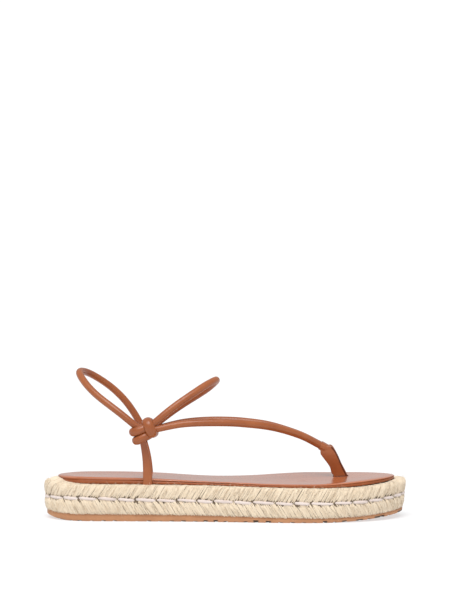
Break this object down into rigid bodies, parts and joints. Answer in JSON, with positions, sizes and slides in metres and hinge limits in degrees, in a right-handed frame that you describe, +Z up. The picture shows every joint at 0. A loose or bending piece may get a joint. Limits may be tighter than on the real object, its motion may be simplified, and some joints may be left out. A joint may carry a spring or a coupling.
{
  "type": "espadrille thong sandal",
  "caption": "Right-foot espadrille thong sandal: flat jute platform with a plaited side, rubber outsole, leather footbed, and rolled leather cords that cross at the toe and knot at the ankle.",
  "frame": {"origin": "on the ground, under the middle of the shoe's bounding box", "axes": "+X to the toe, +Y to the inner (big toe) side, +Z up"},
  "size_m": [0.2599, 0.0915, 0.1075],
  "materials": {
    "rubber": "matte tan rubber",
    "jute": "undyed plaited jute fibre",
    "leather": "smooth tan leather, semi-gloss"
  },
  "bodies": {
    "root": {"outsole": "rubber", "jute_platform": "jute", "footbed": "leather", "insole": "leather", "toe_tab": "leather", "straps": "leather"}
  },
  "joints": []
}
